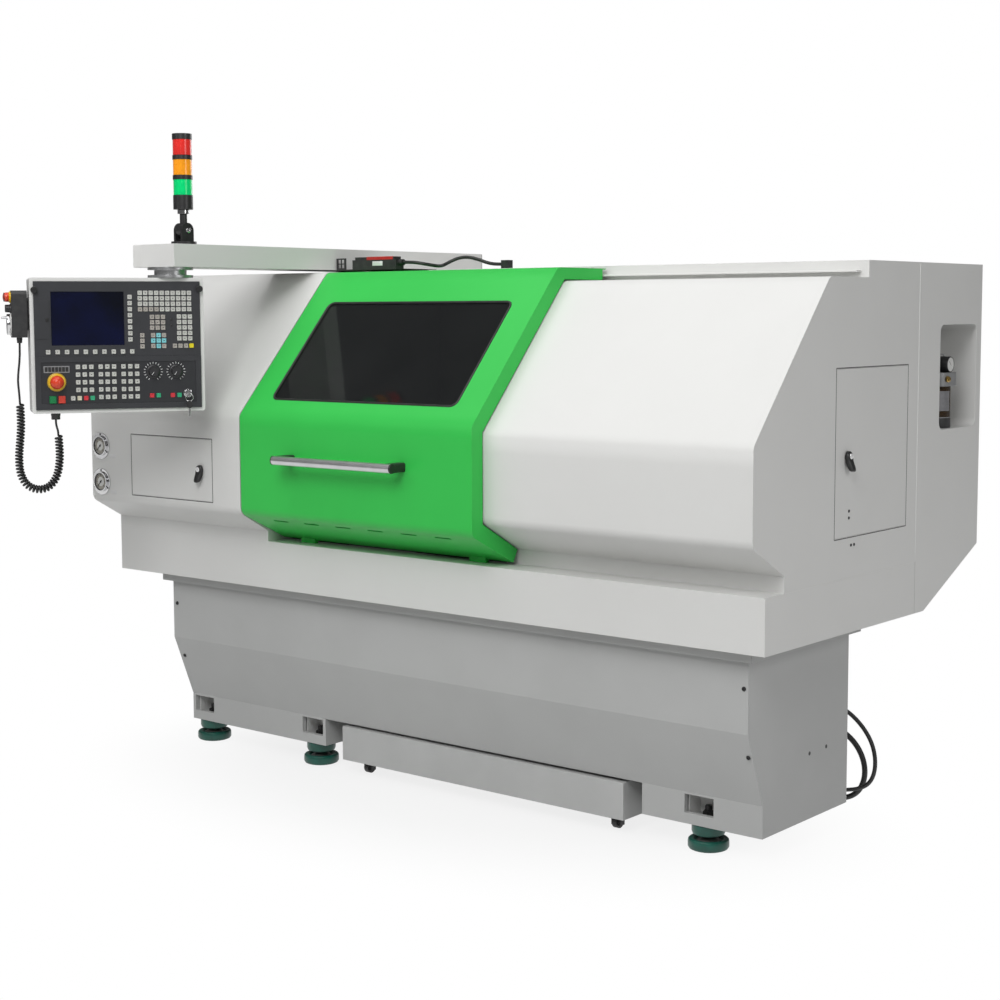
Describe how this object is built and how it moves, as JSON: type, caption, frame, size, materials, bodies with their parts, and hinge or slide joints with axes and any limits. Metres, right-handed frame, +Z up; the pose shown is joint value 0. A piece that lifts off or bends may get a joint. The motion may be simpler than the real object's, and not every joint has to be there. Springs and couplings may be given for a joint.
{
  "type": "cnc turning lathe",
  "caption": "Flat-bed CNC turning lathe in a sheet-metal enclosure with a sliding door, control pendant on an arm and signal tower.",
  "frame": {"origin": "on the floor, under the middle of the machine's box without its free cables", "axes": "+X along the spindle from headstock to tailstock, +Y from the operator to the back, +Z up"},
  "size_m": [2.525, 1.903, 1.977],
  "materials": {
    "cover_paint": "light warm grey powder coat, satin",
    "base_paint": "mid grey powder coat, fine texture",
    "door_paint": "bright green gloss powder coat",
    "foot_paint": "dark green enamel",
    "cast_iron": "ground cast iron",
    "turned_steel": "turned and ground steel",
    "motor_paint": "black enamel",
    "belt_rubber": "black rubber",
    "conduit_plastic": "grey ribbed conduit",
    "window_glass": "dark tinted pane",
    "handle_aluminium": "satin anodised tube",
    "black_plastic": "black moulded plastic",
    "gauge_chrome": "bright chrome",
    "fascia_plastic": "anthracite panel",
    "key_plastic": "light grey keys",
    "stop_plastic": "red moulded plastic",
    "lens_plastic": "tinted clear lenses, red over amber over green",
    "pump_metal": "cast head with brass and black parts",
    "reservoir_plastic": "brown translucent reservoir"
  },
  "bodies": {
    "frame": {"machine_base": "base_paint", "base_front_panel": "base_paint", "levelling_feet": "foot_paint", "coolant_tank": "base_paint", "chip_tray": "cover_paint", "bed": "cast_iron", "headstock_housing": "cast_iron", "spindle_bearings": "turned_steel", "spindle_motor": "motor_paint", "drive_belt": "belt_rubber", "z_screw_drive": "motor_paint", "headstock_cover": "cover_paint", "pressure_gauges": "gauge_chrome", "tail_cover": "cover_paint", "rear_cabinet": "cover_paint", "lube_pump": "pump_metal", "lube_reservoir": "reservoir_plastic", "arm_beam": "cover_paint", "arm_coupling": "turned_steel", "tower_foot": "black_plastic", "interlock_switch": "black_plastic", "switch_cable": "belt_rubber", "pump_cable": "belt_rubber", "pump_conduit": "conduit_plastic"},
    "spindle": {"spindle": "turned_steel", "spindle_pulley": "turned_steel", "chuck_body": "turned_steel"},
    "jaw_1": {"chuck_jaw_1": "turned_steel"},
    "jaw_2": {"chuck_jaw_2": "turned_steel"},
    "jaw_3": {"chuck_jaw_3": "turned_steel"},
    "motor_pulley": {"motor_pulley": "turned_steel"},
    "carriage": {"saddle": "cast_iron"},
    "cross_slide": {"cross_slide": "cast_iron"},
    "turret": {"tool_turret": "turned_steel"},
    "z_screw": {"z_screw": "turned_steel"},
    "tailstock": {"tailstock_body": "cast_iron"},
    "quill": {"quill": "turned_steel"},
    "tailstock_wheel": {"tailstock_handwheel": "turned_steel"},
    "door": {"door_panel": "door_paint", "door_window": "window_glass", "door_handle": "handle_aluminium", "handle_brackets": "black_plastic"},
    "front_hatch": {"front_access_door": "cover_paint"},
    "front_latch": {"front_door_latch": "black_plastic"},
    "end_hatch": {"end_access_door": "cover_paint"},
    "end_latch": {"end_door_latch": "black_plastic"},
    "pendant": {"pendant_housing": "cover_paint", "display_panel": "fascia_plastic", "key_panel": "fascia_plastic", "panel_keys": "key_plastic", "mpg_unit": "black_plastic", "mpg_lead": "belt_rubber", "mpg_coil": "belt_rubber"},
    "estop": {"estop_button": "stop_plastic"},
    "dial_1": {"override_dial_1": "black_plastic"},
    "dial_2": {"override_dial_2": "black_plastic"},
    "key": {"key_switch": "gauge_chrome"},
    "pulse_wheel": {"mpg_wheel": "black_plastic"},
    "tower": {"tower_stem": "black_plastic", "signal_lamps": "lens_plastic"}
  },
  "joints": [
    {"name": "spindle_turn", "type": "hinge", "parent": "frame", "child": "spindle", "pos_m": [-0.0125, 0.05455, 1.02], "axis": [1, 0, 0], "continuous": true},
    {"name": "motor_pulley_turn", "type": "hinge", "parent": "frame", "child": "motor_pulley", "pos_m": [-0.0125, 0.41655, 0.88], "axis": [1, 0, 0], "continuous": true},
    {"name": "jaw_1_slide", "type": "slide", "parent": "spindle", "child": "jaw_1", "axis": [0, 0, 1], "range_m": [0, 0.004]},
    {"name": "jaw_2_slide", "type": "slide", "parent": "spindle", "child": "jaw_2", "axis": [0, -0.866, -0.5], "range_m": [0, 0.004]},
    {"name": "jaw_3_slide", "type": "slide", "parent": "spindle", "child": "jaw_3", "axis": [0, 0.866, -0.5], "range_m": [0, 0.004]},
    {"name": "carriage_slide", "type": "slide", "parent": "frame", "child": "carriage", "axis": [1, 0, 0], "range_m": [-0.28, 0.2]},
    {"name": "z_screw_turn", "type": "hinge", "parent": "frame", "child": "z_screw", "pos_m": [-0.0125, -0.12345, 0.725], "axis": [1, 0, 0], "continuous": true},
    {"name": "cross_slide_travel", "type": "slide", "parent": "carriage", "child": "cross_slide", "axis": [0, 1, 0], "range_m": [-0.06, 0.07]},
    {"name": "turret_index", "type": "hinge", "parent": "cross_slide", "child": "turret", "pos_m": [0.1075, -0.12345, 0.9609], "axis": [0, 0, 1], "continuous": true},
    {"name": "tailstock_slide", "type": "slide", "parent": "frame", "child": "tailstock", "axis": [1, 0, 0], "range_m": [-0.15, 0.15]},
    {"name": "tailstock_wheel_turn", "type": "hinge", "parent": "tailstock", "child": "tailstock_wheel", "pos_m": [-0.0125, 0.05455, 1.02], "axis": [1, 0, 0], "range_deg": [-3600, 7200]},
    {"name": "quill_slide", "type": "slide", "parent": "tailstock", "child": "quill", "axis": [-1, 0, 0], "range_m": [-0.05, 0.1]},
    {"name": "door_slide", "type": "slide", "parent": "frame", "child": "door", "axis": [1, 0, 0], "range_m": [0, 0.8]},
    {"name": "front_hatch_hinge", "type": "hinge", "parent": "frame", "child": "front_hatch", "pos_m": [-1.0585, -0.38645, 0.954], "axis": [0, 0, -1], "range_deg": [0, 110]},
    {"name": "front_latch_turn", "type": "hinge", "parent": "front_hatch", "child": "front_latch", "pos_m": [-0.7235, -0.38645, 0.954], "axis": [0, -1, 0], "range_deg": [0, 90]},
    {"name": "end_hatch_hinge", "type": "hinge", "parent": "frame", "child": "end_hatch", "pos_m": [1.2375, 0.47855, 1.058], "axis": [0, 0, 1], "range_deg": [0, 110]},
    {"name": "end_latch_turn", "type": "hinge", "parent": "end_hatch", "child": "end_latch", "pos_m": [1.2375, 0.13455, 1.058], "axis": [1, 0, 0], "range_deg": [0, 90]},
    {"name": "pendant_swivel", "type": "hinge", "parent": "frame", "child": "pendant", "pos_m": [-0.6755, -0.53245, 1.546], "axis": [0, 0, 1], "range_deg": [-55, 60]},
    {"name": "estop_press", "type": "slide", "parent": "pendant", "child": "estop", "axis": [-0.8434, 0.5373, 0], "range_m": [0, 0.005], "stiffness_N_per_m": 1200},
    {"name": "override_dial_1_turn", "type": "hinge", "parent": "pendant", "child": "dial_1", "pos_m": [-0.66518, -0.6149, 1.2685], "axis": [0.8434, -0.5373, 0], "range_deg": [-150, 150]},
    {"name": "override_dial_2_turn", "type": "hinge", "parent": "pendant", "child": "dial_2", "pos_m": [-0.62911, -0.55827, 1.2685], "axis": [0.8434, -0.5373, 0], "range_deg": [-150, 150]},
    {"name": "key_turn", "type": "hinge", "parent": "pendant", "child": "key", "pos_m": [-0.61068, -0.52935, 1.20247], "axis": [0.8434, -0.5373, 0], "range_deg": [0, 90]},
    {"name": "pulse_wheel_turn", "type": "hinge", "parent": "pendant", "child": "pulse_wheel", "pos_m": [-0.92561, -0.92505, 1.40986], "axis": [-0.5373, -0.8434, 0], "continuous": true},
    {"name": "tower_fold", "type": "hinge", "parent": "frame", "child": "tower", "pos_m": [-0.6755, -0.47745, 1.689], "axis": [-1, 0, 0], "range_deg": [0, 90]}
  ],
  "couplings": [
    {"joint": "motor_pulley_turn", "follows": "spindle_turn", "ratio": 1.5},
    {"joint": "jaw_2_slide", "follows": "jaw_1_slide", "ratio": 1},
    {"joint": "jaw_3_slide", "follows": "jaw_1_slide", "ratio": 1},
    {"joint": "z_screw_turn", "follows": "carriage_slide", "rad_per_m": 628.32},
    {"joint": "quill_slide", "follows": "tailstock_wheel_turn", "m_per_rad": 0.00079577}
  ]
}
